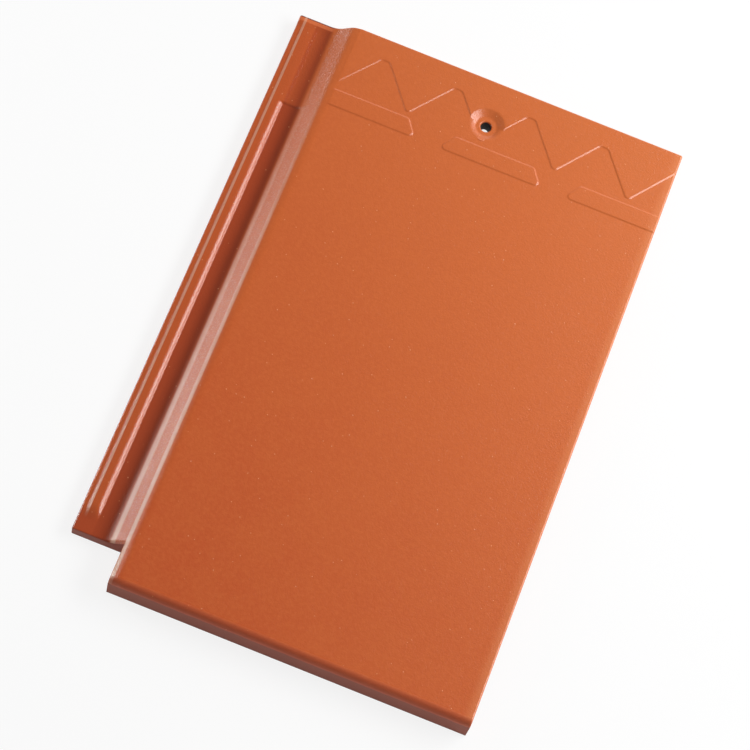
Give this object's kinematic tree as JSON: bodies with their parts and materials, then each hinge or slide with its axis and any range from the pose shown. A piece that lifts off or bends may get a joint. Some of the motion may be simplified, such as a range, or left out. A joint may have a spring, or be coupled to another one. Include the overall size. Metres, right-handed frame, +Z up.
{
  "type": "clay roof tile",
  "caption": "Flat interlocking clay roof tile: glossy orange face, ribbed water channel along the left side, rounded nose, zigzag and bar relief at the head and a dished nail hole.",
  "frame": {"origin": "centre of the overall box on the floor, with the tile lying face up", "axes": "+X across the tile, away from its water channel; +Y along it from nose to head; +Z up, out of the exposed face"},
  "size_m": [0.27, 0.42, 0.0225],
  "materials": {
    "glazed_clay": "glossy orange glaze over fired clay"
  },
  "bodies": {
    "root": {"roof_tile": "glazed_clay"}
  },
  "joints": []
}
